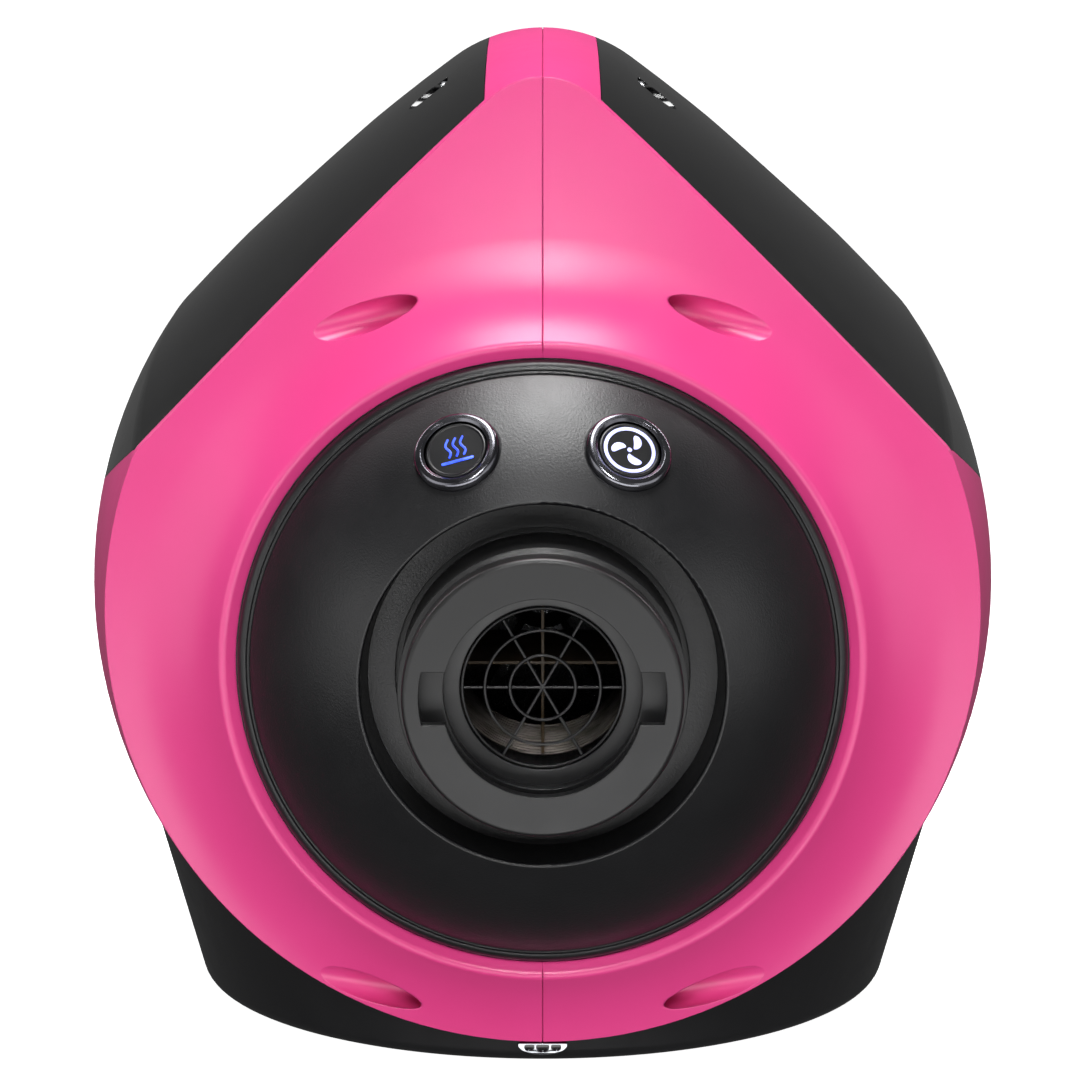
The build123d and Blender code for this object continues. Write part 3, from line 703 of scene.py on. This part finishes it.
@dataclass
class Outlet:
    """Front panel, hose collar, wire guard and the heater behind it."""

    dresser: Dresser
    ring_radii: tuple[float, float, float] = (19.9 * MM, 14.3 * MM, 8.1 * MM)
    wire_radius: float = 0.42 * MM
    plate_inner: float = 20.5 * MM
    plate_outer: float = 28.0 * MM
    winding_radius: float = 24.75 * MM
    winding_wire: float = 0.5 * MM
    winding_pitch: float = 3.2 * MM
    winding_steps: int = 48
    spokes: int = 6
    spoke_overlap: float = 1.0 * MM

    def build(self) -> None:
        """Dresses the outlet and models the guard and the heater's winding."""
        self.dresser.dress(Finish.GRAINED_ABS, "front_panel")
        self.dresser.dress(Finish.COLLAR_NYLON, "hose_coupling")
        self.dresser.dress(Finish.DUCT, "outlet_duct", "thermal_cutout")
        self.dresser.dress(Finish.MICA, "heater_frame")
        guard = self.make_guard()
        self.dresser.place(guard, Finish.COLLAR_NYLON, "housing", "black_collar", ("outlet_guard",))
        winding = self.make_winding()
        self.dresser.place(winding, Finish.NICHROME, "housing", "heater_wire", ("heater_coils",))

    def make_guard(self) -> bpy.types.Object:
        """Models the guard: a flat rim plate, three wire rings and six spokes under them.

        Returns:
            The guard, as one object.
        """
        low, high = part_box("outlet_guard")
        centre = (0.0, (low[1] + high[1]) / 2, (low[2] + high[2]) / 2)
        thick = high[1] - low[1]
        parts = []
        for radius in self.ring_radii:
            wire = round_along_y(
                bpy.ops.mesh.primitive_torus_add,
                centre,
                major_radius=radius,
                minor_radius=self.wire_radius,
                major_segments=72,
                minor_segments=10,
            )
            parts.append(wire)
            bpy.ops.object.transform_apply(location=True, rotation=True, scale=True)
        reach = self.plate_inner + self.spoke_overlap
        for turn in range(self.spokes):
            angle = math.radians(360 / self.spokes * turn)
            middle = (
                math.cos(angle) * reach / 2,
                centre[1] + self.wire_radius,
                centre[2] + math.sin(angle) * reach / 2,
            )
            deselect()
            bpy.ops.mesh.primitive_cylinder_add(
                vertices=12,
                radius=self.wire_radius,
                depth=reach,
                location=middle,
                rotation=(0.0, math.pi / 2 - angle, 0.0),
            )
            parts.append(bpy.context.object)
            bpy.ops.object.transform_apply(location=True, rotation=True, scale=True)
        parts.append(self.make_rim_plate(centre, thick))
        return join("outlet_wire_guard", parts)

    def make_rim_plate(self, centre: tuple[float, float, float], thick: float) -> bpy.types.Object:
        """Models the flat ring that carries the wires, its edges bevelled.

        Args:
            centre: the ring's centre.
            thick: its thickness.

        Returns:
            The ring.
        """
        plate = round_along_y(
            bpy.ops.mesh.primitive_cylinder_add, centre, vertices=96, radius=self.plate_outer, depth=thick
        )
        bpy.ops.object.mode_set(mode="EDIT")
        bpy.ops.mesh.select_mode(type="FACE")
        bpy.ops.mesh.select_all(action="DESELECT")
        bpy.ops.object.mode_set(mode="OBJECT")
        for face in plate.data.polygons:
            face.select = abs(face.normal.z) > 0.9
        bpy.ops.object.mode_set(mode="EDIT")
        bpy.ops.mesh.inset(thickness=self.plate_outer - self.plate_inner)
        bpy.ops.mesh.bridge_edge_loops()
        bpy.ops.object.mode_set(mode="OBJECT")
        bevel = plate.modifiers.new("edge", "BEVEL")
        bevel.width = 0.25 * MM
        bevel.segments = 2
        bevel.limit_method = "ANGLE"
        bpy.ops.object.modifier_apply(modifier="edge")
        bpy.ops.object.transform_apply(location=True, rotation=True, scale=True)
        return plate

    def make_winding(self) -> bpy.types.Object:
        """Models the heater's wound wire as one long screw of a round section, its two ends open.

        Returns:
            The winding.
        """
        low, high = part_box("heater_coils")
        length = high[1] - low[1] - 2 * self.winding_wire
        turns = int(length / self.winding_pitch)
        middle = (low[2] + high[2]) / 2
        deselect()
        bpy.ops.mesh.primitive_circle_add(
            vertices=8,
            radius=self.winding_wire,
            location=(self.winding_radius, low[1] + self.winding_wire, middle),
        )
        wire = bpy.context.object
        bpy.context.scene.cursor.location = (0.0, 0.0, middle)
        bpy.ops.object.origin_set(type="ORIGIN_CURSOR")
        screw = wire.modifiers.new("winding", "SCREW")
        screw.axis = "Y"
        screw.angle = turns * 2 * math.pi
        screw.screw_offset = turns * self.winding_pitch
        screw.steps = screw.render_steps = turns * self.winding_steps
        bpy.ops.object.modifier_apply(modifier="winding")
        bpy.ops.object.mode_set(mode="EDIT")
        bpy.ops.mesh.select_all(action="SELECT")
        bpy.ops.mesh.normals_make_consistent(inside=False)
        bpy.ops.object.mode_set(mode="OBJECT")
        return settle("heater_winding")


@dataclass
class Buttons:
    """The two lit push buttons: bezels, caps, symbols, nuts and springs."""

    dresser: Dresser
    axis_z: float = 114.5
    dome_radius: float = 92.4
    dome_y: float = -49.5
    across: float = 21.3
    rise: float = 57.0
    inlay_height: float = 0.95
    inlay_depth: float = 0.2
    heat_spin: float = 20.0
    fan_spin: float = -8.0

    def build(self) -> None:
        """Dresses both buttons and models their symbols."""
        for name in ("heat", "fan"):
            self.dresser.dress(Finish.DARK_CHROME, f"{name}_button_housing", f"{name}_button_nut")
            self.dresser.dress(Finish.CAP_ABS, f"{name}_button_cap")
            self.dresser.dress(Finish.STEEL, f"{name}_button_spring")
        waves = inlay("heat_symbol", self.heat_outlines(), self.inlay_depth, self.frame(-1, self.heat_spin))
        self.dresser.place(waves, Finish.BLUE_LED, "heat_button", "icon_blue", ("heat_icon",))
        wheel = inlay("fan_symbol", self.fan_outlines(), self.inlay_depth, self.frame(1, self.fan_spin))
        self.dresser.place(wheel, Finish.WHITE_LED, "fan_button", "icon_white", ("fan_icon",))

    def frame(self, side: int, spin: float) -> Matrix:
        """Plane on a button's cap, its Z axis outwards.

        Args:
            side: -1 for the heat button, 1 for the fan button.
            spin: turn about the plane's Z axis, in degrees.

        Returns:
            The plane's matrix, in metres.
        """
        across = side * self.across
        depth = math.sqrt(self.dome_radius**2 - self.across**2 - self.rise**2)
        outwards = Vector((across, -depth, self.rise)).normalized()
        level = Vector((depth, across, 0.0)).normalized()
        seat = Vector((across, self.dome_y - depth, self.axis_z + self.rise))
        centre = seat + outwards * self.inlay_height
        turned = Matrix((level, outwards.cross(level), outwards)).transposed().to_4x4()
        return Matrix.Translation(centre * MM) @ turned @ Matrix.Rotation(math.radians(spin), 4, "Z")

    def heat_outlines(self) -> list[Outline]:
        """Draws three rising waves over a bar.

        Returns:
            The closed outlines.
        """
        outlines = [stroke([(-3.8, -3.3), (3.8, -3.3)], 0.75)]
        for column in (-1.9, 0.0, 1.9):
            heights = [i / 28 for i in range(29)]
            wave = [(column + 0.5 * math.sin(2.2 * math.pi * t), -1.8 + 5.2 * t) for t in heights]
            outlines.append(stroke(wave, 0.55))
        return outlines

    def fan_outlines(self) -> list[Outline]:
        """Draws a ring, three swept blades and a hub.

        Returns:
            The closed outlines.
        """
        outlines = [oval(6.6, 6.6, 120), oval(5.7, 5.7, 120), oval(0.6, 0.6, 32)]
        for turn in (10.0, 130.0, 250.0):
            outlines.append([self.blade_point(turn, i / 48) for i in range(48)])
        return outlines

    def blade_point(self, turn: float, share: float) -> tuple[float, float]:
        """Finds a point on a swept blade's rim: a drop, narrow at the hub and full at the tip.

        Args:
            turn: the blade's turn about the hub, in degrees.
            share: how far round the rim, from 0 to 1.

        Returns:
            The point.
        """
        angle = 2 * math.pi * share
        out = 2.95 - 1.75 * math.cos(angle)
        half = math.sin(angle) * (0.55 + 0.32 * (out - 1.0))
        sweep = math.radians(turn + 11.0 * out) + half / max(out, 1.0)
        return (out * math.cos(sweep), out * math.sin(sweep))


@dataclass
class Works:
    """Fan, motor, partitions and electrics inside the casing."""

    dresser: Dresser

    def build(self) -> None:
        """Dresses the inside parts."""
        dress = self.dresser.dress
        dress(Finish.GREY_NYLON, "air_shroud", "fan_housing", "motor_bulkhead")
        dress(Finish.WHEEL, "impeller")
        dress(Finish.STEEL, "impeller_nut", "motor_shaft", "front_bearing", "rear_bearing")
        dress(Finish.STEEL, "armature", "stator_core")
        dress(Finish.COPPER, "stator_windings", "commutator")
        dress(Finish.ALUMINIUM, "motor_front_bracket", "motor_rear_bracket")
        dress(Finish.BRASS, "brush_holders", "inlet_pins")
        dress(Finish.CARBON, "carbon_brushes")
        dress(Finish.FOAM, "acoustic_foam", "filter_foam")
        dress(Finish.BOARD, "control_board")
        dress(Finish.COMPONENT, "board_components", "power_inlet")
        dress(Finish.VENT_ABS, "intake_cover", "intake_ring")


@dataclass(frozen=True)
class SoftBox:
    """One soft box: its place, and its width and height, in metres, and its power in watts."""

    name: str
    place: tuple[float, float, float]
    size: tuple[float, float]
    power: float


@dataclass
class Studio:
    """Plain pale floor and backdrop, soft boxes and the camera."""

    floor_colour: str = "#ffffff"
    glow: float = 1.0
    surround: float = 0.1
    cove_radius: float = 6.0
    aim: tuple[float, float, float] = (0.0, -0.100, 0.1385)
    distance: float = 0.820
    elevation: float = 9.0
    tip: float = 0.563
    lens: float = 107.07
    sensor: float = 36.0
    shift: float = -0.0025
    nearest: float = 0.05
    lit_point: tuple[float, float, float] = (0.0, 0.0, 0.12)
    # overhead, front, a broad fill each side, two under the floor's level and a rim strip each side
    boxes: tuple[SoftBox, ...] = (
        SoftBox("top_box", (0.0, -0.10, 1.10), (0.44, 0.60), 11.0),
        SoftBox("front_box", (0.0, -1.35, 0.90), (0.08, 0.60), 9.5),
        SoftBox("left_box", (-1.5, -1.2, 0.30), (1.5, 1.2), 7.8),
        SoftBox("right_box", (1.5, -1.2, 0.30), (1.5, 1.2), 6.6),
        SoftBox("low_box", (0.0, -1.5, -0.45), (2.2, 0.7), 15.0),
        SoftBox("left_rim", (-0.9, 0.45, 0.85), (0.05, 0.9), 3.5),
        SoftBox("right_rim", (0.9, 0.45, 0.85), (0.05, 0.9), 3.5),
        SoftBox("back_box", (0.0, 1.7, -0.30), (0.7, 0.5), 9.0),
    )

    def build(self) -> None:
        """Builds the studio."""
        self.make_cove()
        self.make_world()
        self.make_lights()
        self.make_camera()

    def make_cove(self) -> None:
        """Adds a plain white cove: a flat floor that turns up into a dome all round."""
        deselect()
        bpy.ops.mesh.primitive_uv_sphere_add(
            segments=96, ring_count=48, radius=self.cove_radius, location=(0.0, 0.0, 0.0)
        )
        cove = bpy.context.object
        cove.name = "studio_cove"
        for vertex in cove.data.vertices:
            vertex.co.z = max(0.0, vertex.co.z)
        bpy.ops.object.shade_smooth_by_angle(angle=SMOOTH)
        cove.data.materials.append(self.make_paper())
        # the soft boxes alone light the machine, as with flags round a product table
        cove.visible_diffuse = False
        cove.visible_glossy = False
        cove.visible_shadow = False

    def make_paper(self) -> bpy.types.Material:
        """Builds the pale translucent paper, lit from behind like a light table.

        Returns:
            The material.
        """
        material, tree, shader = new_material("light_table_paper")
        place = add_node(tree, "ShaderNodeTexCoord").outputs["Object"]
        fibre = add_node(tree, "ShaderNodeTexNoise", inputs={"Vector": place, "Scale": 3.0, "Detail": 2.0})
        tint = add_node(tree, "ShaderNodeValToRGB", inputs={"Fac": fibre.outputs["Fac"]})
        ramp(tint, ((0.3, linear("#fbfbfb")), (0.7, linear(self.floor_colour))))
        tree.links.new(tint.outputs["Color"], shader.inputs["Base Color"])
        shader.inputs["Emission Color"].default_value = linear(self.floor_colour)
        shader.inputs["Emission Strength"].default_value = self.glow
        shader.inputs["Roughness"].default_value = 0.9
        shader.inputs["Specular IOR Level"].default_value = 0.0
        return material

    def make_world(self) -> None:
        """Sets an even pale surround."""
        world = bpy.data.worlds.new("studio")
        bpy.context.scene.world = world
        world.use_nodes = True
        tree = world.node_tree
        tree.nodes.clear()
        sky = add_node(
            tree, "ShaderNodeBackground", inputs={"Color": linear("#ffffff"), "Strength": self.surround}
        )
        add_node(tree, "ShaderNodeOutputWorld", inputs={"Surface": sky.outputs["Background"]})

    def make_light(self, box: SoftBox) -> None:
        """Adds one soft box, turned to the machine.

        Args:
            box: its name, place, size and power.
        """
        light = bpy.data.lights.new(box.name, "AREA")
        light.shape = "RECTANGLE"
        light.size, light.size_y = box.size
        light.energy = box.power
        holder = bpy.data.objects.new(box.name, light)
        bpy.context.scene.collection.objects.link(holder)
        facing = Vector(self.lit_point) - Vector(box.place)
        turned = facing.to_track_quat("-Z", "Y").to_matrix().to_4x4()
        holder.matrix_world = Matrix.Translation(box.place) @ turned

    def make_lights(self) -> None:
        """Adds every soft box."""
        for box in self.boxes:
            self.make_light(box)

    def make_camera(self) -> None:
        """Adds the camera: slightly above, straight at the front."""
        camera = bpy.data.cameras.new("camera")
        camera.lens = self.lens
        camera.sensor_width = self.sensor
        camera.shift_x = self.shift
        camera.clip_start = self.nearest
        pitch = math.radians(self.elevation)
        back = Vector((0.0, -math.cos(pitch), math.sin(pitch))) * self.distance
        holder = bpy.data.objects.new("camera", camera)
        holder.location = Vector(self.aim) + back
        holder.rotation_euler = (math.radians(90.0 - self.elevation + self.tip), 0.0, 0.0)
        bpy.context.scene.collection.objects.link(holder)
        bpy.context.scene.camera = holder


def main() -> None:
    """Loads the frame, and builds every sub-assembly and the studio."""
    logging.basicConfig(level=logging.INFO, format="%(name)s: %(message)s")
    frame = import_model()
    dresser = Dresser(frame["nodes"])
    bpy.context.scene.view_settings.view_transform = "Standard"
    for section in (Casing(dresser), Outlet(dresser), Buttons(dresser), Works(dresser), Studio()):
        section.build()
        LOG.info("built %s", type(section).__name__)


if __name__ == "__main__":
    main()
